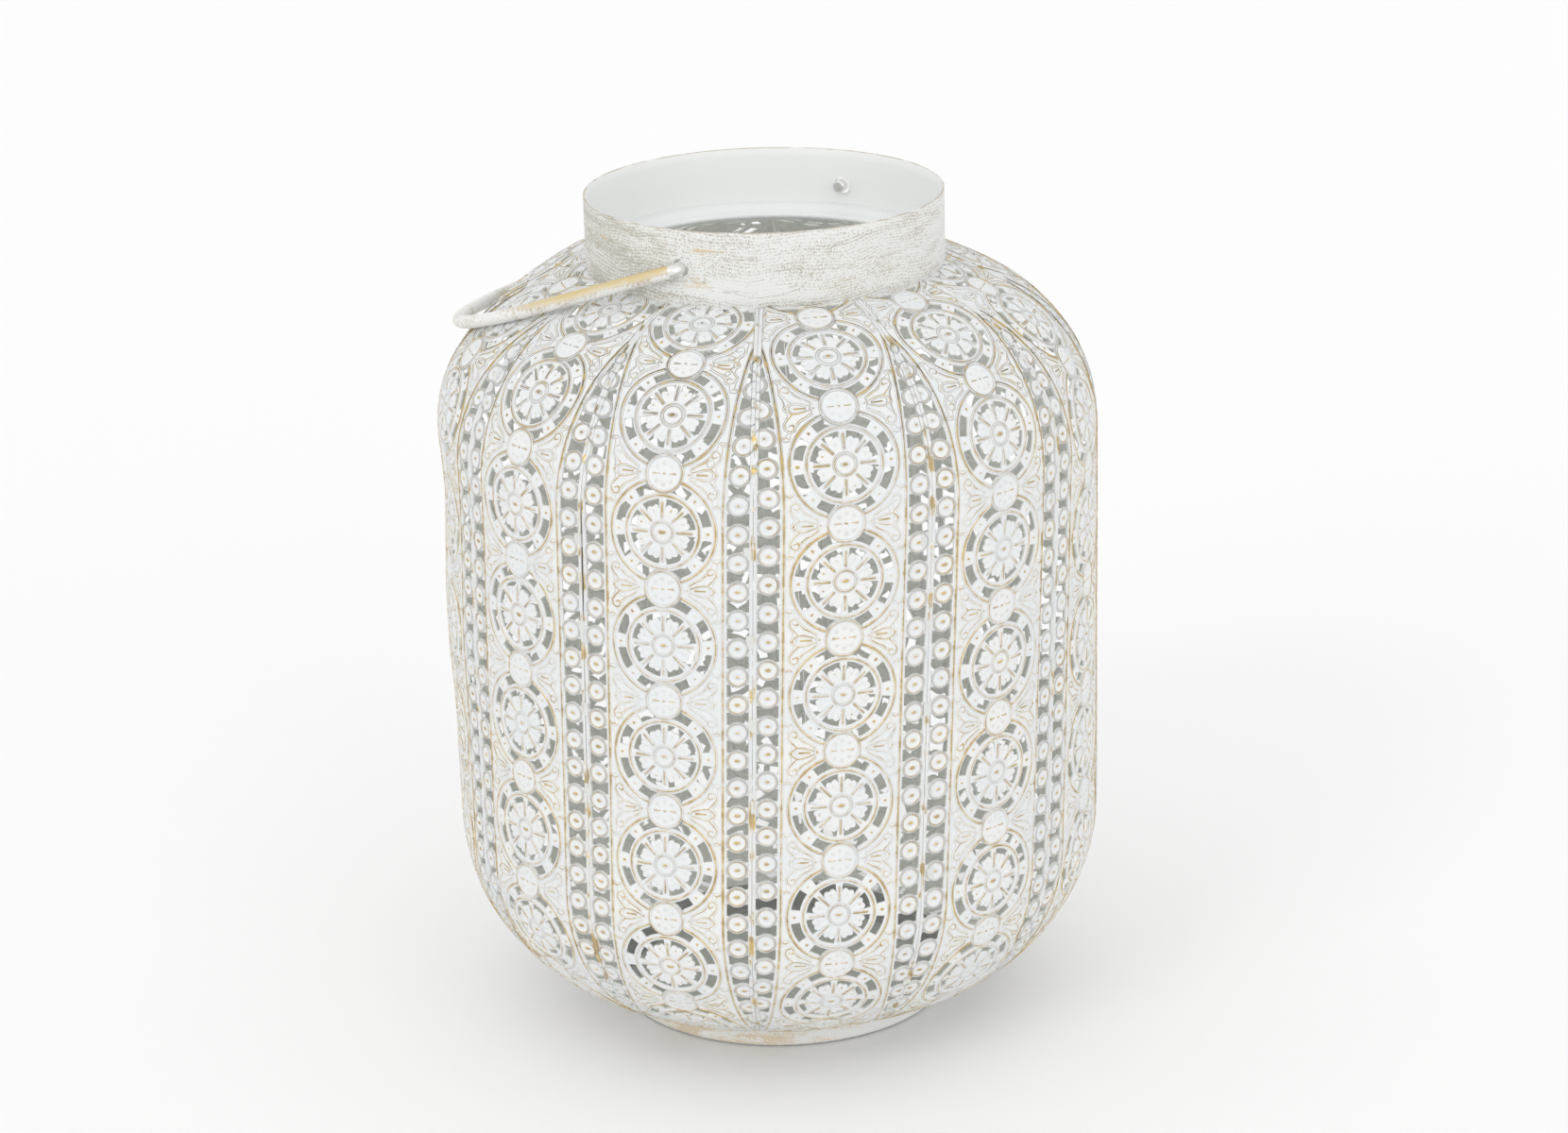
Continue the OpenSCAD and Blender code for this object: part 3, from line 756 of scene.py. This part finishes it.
# Where gold shows: places around and up, and their reach around and up
near = ((round_mm - 12) / 13).away((up_mm - 9) / 4).line(1.0)
for far_round, far_up, reach, tall in ((8, -6.5, 12, 3.5), (72, -8, 16, 4), (-46, 5, 12, 5)):
    near = near.most(((round_mm - far_round) / reach).away((up_mm - far_up) / tall).line(1.0))
dash = (dashes + (strokes - 0.5) * 0.45 + shade * 0.45).ramp(0.6, 0.68) * outside
gilt = ((streak - 0.5) * 2.2 + near * 0.5 + (dots - 0.5) * 0.9 - 0.3).ramp(0.05, 0.45) * outside
wave = (up_mm + 7.5 + ((round_mm - 20) / 11).sine() * 3.2 + (wavy - 0.5) * 9).line(0.3)
wave = wave * round_mm.ramp(16, 24) * (1 - round_mm.ramp(50, 62)) * outside * (dots + 0.2).ramp(0.5, 0.8)
edge = z.ramp(0.38715, 0.3876) * (streak + 0.15).ramp(0.5, 0.7)
white = sh.mix(strokes, (0.76, 0.77, 0.74, 1), (0.82, 0.825, 0.805, 1))
# Inside the band plain white paint, kept brighter than the outside as painted light for the light falling
# into the mouth
white = sh.mix(outside, (0.9, 0.91, 0.9, 1), white)
color = sh.mix(stipple * 0.72, white, (0.4, 0.365, 0.29, 1))
color = sh.mix(dash * 0.42, color, (0.34, 0.295, 0.215, 1))
color = sh.mix(gilt * 0.7, color, (0.66, 0.48, 0.24, 1))
color = sh.mix(wave * 0.6, color, (0.25, 0.19, 0.12, 1))
color = sh.mix(edge * 0.7, color, (0.44, 0.37, 0.26, 1))
collar.data.materials.append(sh.finish(
    Base_Color=color, Roughness=0.6 - gilt * 0.2, Metallic=gilt * 0.2,
    Normal=sh.bump((dots * 0.6 + rows * 0.12) * outside, 0.0004, 0.6)))
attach(collar, "body")
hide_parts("collar")

# Neck ring: pressed ring soldered inside the collar's foot, with a ledge and a rolled lip.
# Smooth white paint, slightly uneven in tone.
LEDGE_Z, LIP_R, MOUTH_R, FILLET = NECK_Z + 2.9, 1.2, 71.0, 4.0
inner_r = COLLAR_R - SHEET


def turned(name, outline, steps):
    """A piece turned about the lantern's axis from an outline of radii and heights."""
    bm = bmesh.new()
    points = [bm.verts.new((r / 1000, 0, z / 1000)) for r, z in outline]
    edges = [bm.edges.new(pair) for pair in zip(points, points[1:])]
    if outline[0][0] > 0:
        edges.append(bm.edges.new((points[-1], points[0])))
    bmesh.ops.spin(bm, geom=points + edges, axis=(0, 0, 1), cent=(0, 0, 0), angle=2 * math.pi, steps=steps)
    bmesh.ops.remove_doubles(bm, verts=bm.verts, dist=1e-6)
    soften(bm)
    return to_piece(name, bm)


outline = [(MOUTH_R + LIP_R + LIP_R * math.cos(b), LEDGE_Z - LIP_R + LIP_R * math.sin(b))
           for b in np.radians(np.arange(90, 366, 15))]
outline += [(inner_r - 0.05, LEDGE_Z - 1), (inner_r - 0.05, LEDGE_Z + FILLET)]
outline += [(inner_r - SHEET - FILLET + FILLET * math.cos(b), LEDGE_Z + FILLET + FILLET * math.sin(b))
            for b in np.radians(np.arange(0, -91, -10))]
neck = turned("neck_ledge", outline, 160)
sh = Shader("ring_paint")
soft = sh.noise(sh.place(), 45.0)
neck.data.materials.append(sh.finish(Base_Color=sh.mix(soft, (0.8, 0.815, 0.82, 1), (0.86, 0.87, 0.865, 1)),
                                     Roughness=0.45, Normal=sh.bump(soft, 0.0004, 0.3)))
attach(neck, "body")
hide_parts("neck_ring")

# Base pan: shallow dish of thicker sheet that the strips are soldered to and the lantern stands on.
# White paint with gold brush strokes on its edge.
PAN_H, PAN_T, PAN_CORNER = 15.5, 1.0, 2.5
outline = [(0.0, 0.0), (20, 0), (45, 0), (PAN_R - PAN_CORNER - 6, 0)]
outline += [(PAN_R - PAN_CORNER + PAN_CORNER * math.cos(b), PAN_CORNER + PAN_CORNER * math.sin(b))
            for b in np.radians(np.arange(-90, 1, 10))]
outline += [(PAN_R, 6), (PAN_R, 10), (PAN_R, PAN_H - 0.2), (PAN_R - 0.2, PAN_H), (PAN_R - PAN_T, PAN_H)]
outline += [(PAN_R - PAN_CORNER + (PAN_CORNER - PAN_T) * math.cos(b),
             PAN_CORNER + (PAN_CORNER - PAN_T) * math.sin(b)) for b in np.radians(np.arange(0, -91, -10))]
outline += [(45, PAN_T), (20, PAN_T), (0.0, PAN_T)]
pan = turned("pan", outline, 144)
sh = Shader("pan_paint")
place = sh.place()
x, y, z = sh.parts(place)
brush = sh.noise(sh.stretch(place, 1.0, 1.0, 6.0), 55.0, 4.0, 0.65)
speck = sh.noise(place, 800.0, 3.0, 0.6)
front = (x * 0.5 - y * 12.8).ramp(0.6, 0.98)
gilt = (brush + (speck - 0.5) * 0.5 + front * 0.2).ramp(0.58, 0.78)
white = sh.mix(brush, (0.89, 0.89, 0.87, 1), (0.93, 0.93, 0.91, 1))
color = sh.mix(gilt * 0.65, white, (0.74, 0.58, 0.35, 1))
# Inside, the upright wall is a darker grey and the floor a paler grey than the outside
off = x.away(y)
bare = off.ramp(0.0725, 0.0745) * (1 - off.ramp(0.0772, 0.0776)) * (1 - z.ramp(0.0152, 0.0154))
color = sh.mix(bare, color, sh.mix(brush, (0.38, 0.385, 0.375, 1), (0.56, 0.565, 0.55, 1)))
within = (1 - off.ramp(0.0765, 0.077)) * z.ramp(0.0005, 0.0009)
color = sh.mix(within * (1 - bare) * 0.75, color, (0.58, 0.59, 0.56, 1))
pan.data.materials.append(sh.finish(Base_Color=color, Roughness=0.55, Metallic=gilt * 0.2,
                                    Normal=sh.bump(brush + speck * 0.4, 0.0004, 0.5)))
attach(pan, "body")
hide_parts("base_pan")

# Bail: 6 mm rod bent to a U, its ends turned in through the collar's holes.
# White paint, rubbed to gold along the top of the near limb and bare at the elbows.
ROD_R, LIMB_Y, LIMB, BEND, PIN_IN, REST = 3.0, 85.5, 70.5, 4.0, 4.5, math.radians(18.84)
path = [(0.0, COLLAR_R - SHEET - PIN_IN + d) for d in (0, 1.2, 2.6, 4)]
path += [(BEND - BEND * math.cos(b), LIMB_Y - BEND + BEND * math.sin(b))
         for b in np.radians(np.arange(0, 91, 10))]
path += [(x, LIMB_Y) for x in np.linspace(BEND, LIMB, 30)[1:-1]]
path += [(LIMB + LIMB_Y * math.sin(b), LIMB_Y * math.cos(b)) for b in np.radians(np.arange(0, 91, 2.5))]
path += [(x, -y) for x, y in path[-2::-1]]
SIDES, END_EASE = 28, 0.7


def join(bm, rows):
    """Closes rows of points into one solid: faces between them and on both ends."""
    sides = len(rows[0])
    for a, b in zip(rows, rows[1:]):
        for j in range(sides):
            bm.faces.new((a[j], a[(j + 1) % sides], b[(j + 1) % sides], b[j]))
    for row in (rows[0], rows[-1]):
        bm.faces.new(row)
    bmesh.ops.recalc_face_normals(bm, faces=bm.faces)


bm = bmesh.new()
rub, bright, grey = [bm.verts.layers.float.new(name) for name in ("rub", "bright", "grey")]
rows = []
for i, (x, y) in enumerate(path):
    before, after = path[max(i - 1, 0)], path[min(i + 1, len(path) - 1)]
    way = Vector((after[0] - before[0], after[1] - before[1], 0)).normalized()
    across = Vector((way.y, -way.x, 0))
    r = ROD_R - END_EASE if i in (0, len(path) - 1) else ROD_R
    row = []
    for j in range(SIDES):
        b = 2 * math.pi * j / SIDES
        spot = Vector((x, y, 0)) + across * r * math.cos(b) + Vector((0, 0, 1)) * r * math.sin(b)
        vert = bm.verts.new((-(spot.x * math.cos(REST) + spot.z * math.sin(REST)) / 1000, spot.y / 1000,
                             (PIVOT_Z - spot.x * math.sin(REST) + spot.z * math.cos(REST)) / 1000))
        # Gold wears through along the top of the near limb, most in its first half
        along = min(1.0, max(0.0, 1.55 - abs(x - 34) / 52)) if y < 0 else 0.0
        vert[rub] = along * max(0.0, 0.32 + 0.55 * math.sin(b - 0.35)) * (x > 2)
        vert[bright] = float(x < 3.2)
        # Painted shade: greyer on the rod's underside, toward and along the far limb
        vert[grey] = max(0.0, min(1.0, 0.6 - math.sin(b - 0.6))) * min(1, max(0, (y + 20) / 60)) * (x > 4)
        row.append(vert)
    rows.append(row)
join(bm, rows)
for face in bm.faces:
    face.smooth = len(face.verts) == 4
bail = to_piece("bail_rod", bm)
sh = Shader("rod_paint")
place = sh.place()
rubbing, steel = sh.attribute("rub"), sh.attribute("bright")
flake, broad = sh.noise(place, 800.0, 4.0, 0.7), sh.noise(place, 60.0, 3.0, 0.55)
loss = (flake - 0.5) * 0.7 + (broad - 0.5) * 0.45
bare = (rubbing + loss).ramp(0.4, 0.85)
scratch = (rubbing + loss * 1.8).ramp(0.3, 0.5) * (1 - bare)
white = sh.mix(broad, (0.8, 0.8, 0.78, 1), (0.84, 0.835, 0.8, 1))
white = sh.mix((flake + (broad - 0.5) * 0.6).ramp(0.5, 0.64) * 0.55, white, (0.46, 0.38, 0.27, 1))
# Painted shade on the underside of the far limb
white = sh.mix(sh.attribute("grey") * 0.75, white, (0.3, 0.31, 0.29, 1))
color = sh.mix(scratch * 0.5, white, (0.5, 0.38, 0.22, 1))
color = sh.mix(bare, color, sh.mix(flake, (0.56, 0.43, 0.2, 1), (0.84, 0.7, 0.4, 1)))
clean = (steel + (flake - 0.5) * 0.6).ramp(0.4, 0.6)
bail.data.materials.append(sh.finish(
    Base_Color=sh.mix(clean, color, (0.82, 0.82, 0.8, 1)), Roughness=0.5 - bare * 0.15 - clean * 0.25,
    Metallic=(bare * 0.6).most(clean * 0.95), Normal=sh.bump(flake, 0.0003, 0.5)))
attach(bail, "bail")
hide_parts("bail")

# Lap: the bare, tarnished edge that shows behind the sprung seam at the front.
# Lap: a narrow ribbon of the last strip's steel, bent in behind the first strip, that shows behind the
# sprung seam at the front. Its near-black colour is painted shade, standing for the dark inside the gap.
LAP_LOW, LAP_HIGH, LAP_IN, LAP_W, LAP_T = 134.0, 287.0, 2.6, (-1.6, 0.9), 0.5   # LAP_W: its two edges


def seam(index, z):
    """The skin's radius, angle outwards and angle round at height z on a strip's right seam."""
    s = S_WALL - KNEE_R * math.asin(max(0, z - WALL_TOP) / KNEE_R) + max(0, WALL_TOP - z)
    r, _, a = skin(s)
    lean = TWISTS[(index + 1) % GORES] * (z - TWIST_Z) / TWIST_H
    return float(r), float(a), math.radians(FIRST_DEG + GORE_DEG * (index + 0.5) + lean)


bm = bmesh.new()
rows = []
for z in np.linspace(LAP_LOW, LAP_HIGH, 41):
    skin_r, _, turn = seam(GORES - 1, z)
    row = []
    for across, r in ((LAP_W[0], skin_r - LAP_IN), (LAP_W[1], skin_r - LAP_IN),
                      (LAP_W[1], skin_r - LAP_IN - LAP_T), (LAP_W[0], skin_r - LAP_IN - LAP_T)):
        b = turn + across / (skin_r - LAP_IN)
        row.append(bm.verts.new((r * math.cos(b) / 1000, r * math.sin(b) / 1000, z / 1000)))
    rows.append(row)
join(bm, rows)
lap = to_piece("seam_lap", bm)
sh = Shader("gap_shade_black")
# Painted shade: near-black, so the gap reads dark
gap_shade_color = sh.mix(sh.noise(sh.place(), 200.0), (0.035, 0.033, 0.03, 1), (0.09, 0.085, 0.07, 1))
lap.data.materials.append(sh.finish(Base_Color=gap_shade_color, Roughness=0.8))
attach(lap, "body")

# Solder: dull grey-white tacks inside the seams, kept as built, and a few beads of it that came
# through to the front and were rubbed to gold with the rest.
DROP_IN = 1.3   # how far a drop's middle lies below the skin
bm = bmesh.new()
# Strip, height, and half widths across and along of each drop on the strip's right seam
for index, z, w, h in ((0, 313, 1.2, 2.4), (0, 301, 1.5, 1.2), (0, 285, 1.0, 1.1), (11, 301, 1.1, 2.0),
                       (1, 262, 1.0, 1.6), (11, 118, 1.0, 1.8), (4, 280, 1.2, 1.9), (7, 205, 1.1, 1.5)):
    r, a, turn = seam(index, z)
    drop = bmesh.ops.create_uvsphere(bm, u_segments=16, v_segments=10, radius=0.001)["verts"]
    bmesh.ops.scale(bm, vec=(1.0, w, h), verts=drop)
    bmesh.ops.rotate(bm, verts=drop, cent=(0, 0, 0), matrix=Matrix.Rotation(-a, 3, "Y"))
    bmesh.ops.rotate(bm, verts=drop, cent=(0, 0, 0), matrix=Matrix.Rotation(turn, 3, "Z"))
    out_r = (r - DROP_IN) / 1000
    bmesh.ops.translate(bm, verts=drop, vec=(out_r * math.cos(turn), out_r * math.sin(turn), z / 1000))
for face in bm.faces:
    face.smooth = True
drops = to_piece("solder_drops", bm)
sh = Shader("rubbed_solder")
rubbed = sh.noise(sh.place(), 600.0).ramp(0.38, 0.55)
drops.data.materials.append(sh.finish(
    Base_Color=sh.mix(rubbed, (0.8, 0.79, 0.74, 1), (0.8, 0.58, 0.2, 1)),
    Roughness=0.4, Metallic=rubbed * 0.4))
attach(drops, "body")
sh = Shader("solder")
lumps = sh.noise(sh.place(), 400.0)
solder = sh.finish(Base_Color=sh.mix(lumps, (0.62, 0.63, 0.6, 1), (0.74, 0.75, 0.72, 1)), Roughness=0.6,
                   Normal=sh.bump(lumps, 0.0005, 0.6))
for name in ("seam_tacks", "neck_tacks", "pan_tacks"):
    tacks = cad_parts[name]
    tacks.data.materials.clear()
    tacks.data.materials.append(solder)

# Floor, lights and camera: a pale floor in soft, even light from all sides, a little stronger from
# the front and the right, and the lantern seen from its left front and slightly above.
bm = bmesh.new()
bmesh.ops.create_grid(bm, x_segments=1, y_segments=1, size=6.0)
floor = to_piece("floor", bm)
floor.data.materials.append(Shader("floor_white").finish(Base_Color=(0.93, 0.93, 0.93, 1), Roughness=0.9))

world = bpy.data.worlds.new("studio")
bpy.context.scene.world = world
world.use_nodes = True
sky = world.node_tree.nodes["Background"]
sky.inputs["Color"].default_value, sky.inputs["Strength"].default_value = (1, 1, 1, 1), 0.97
for name, toward, spread, power in (("key", (-0.5, -2.4, 1.5), 25, 0.34),
                                    ("fill", (2.3, -1.4, 1.0), 40, 0.3)):
    lamp = bpy.data.lights.new(name, "SUN")
    lamp.angle, lamp.energy = math.radians(spread), power
    light = bpy.data.objects.new(name, lamp)
    light.location = toward
    light.rotation_euler = Vector(toward).to_track_quat("Z", "Y").to_euler()
    bpy.context.collection.objects.link(light)

AIM, DISTANCE = Vector((0.0043, 0.0022, 0.2080)), 1.8448
AZIMUTH, ELEVATION, ROLL = math.radians(27), math.radians(19.11), math.radians(-1.46)
out = Vector((math.sin(AZIMUTH) * math.cos(ELEVATION), -math.cos(AZIMUTH) * math.cos(ELEVATION),
              math.sin(ELEVATION)))
camera = bpy.data.objects.new("camera", bpy.data.cameras.new("camera"))
camera.data.lens, camera.data.sensor_width = 91.45, 36
camera.location = AIM + out * DISTANCE
camera.rotation_mode = "QUATERNION"
camera.rotation_quaternion = out.to_track_quat("Z", "Y") @ Matrix.Rotation(ROLL, 3, "Z").to_quaternion()
bpy.context.collection.objects.link(camera)
bpy.context.scene.camera = camera
bpy.context.scene.view_settings.view_transform = "Standard"
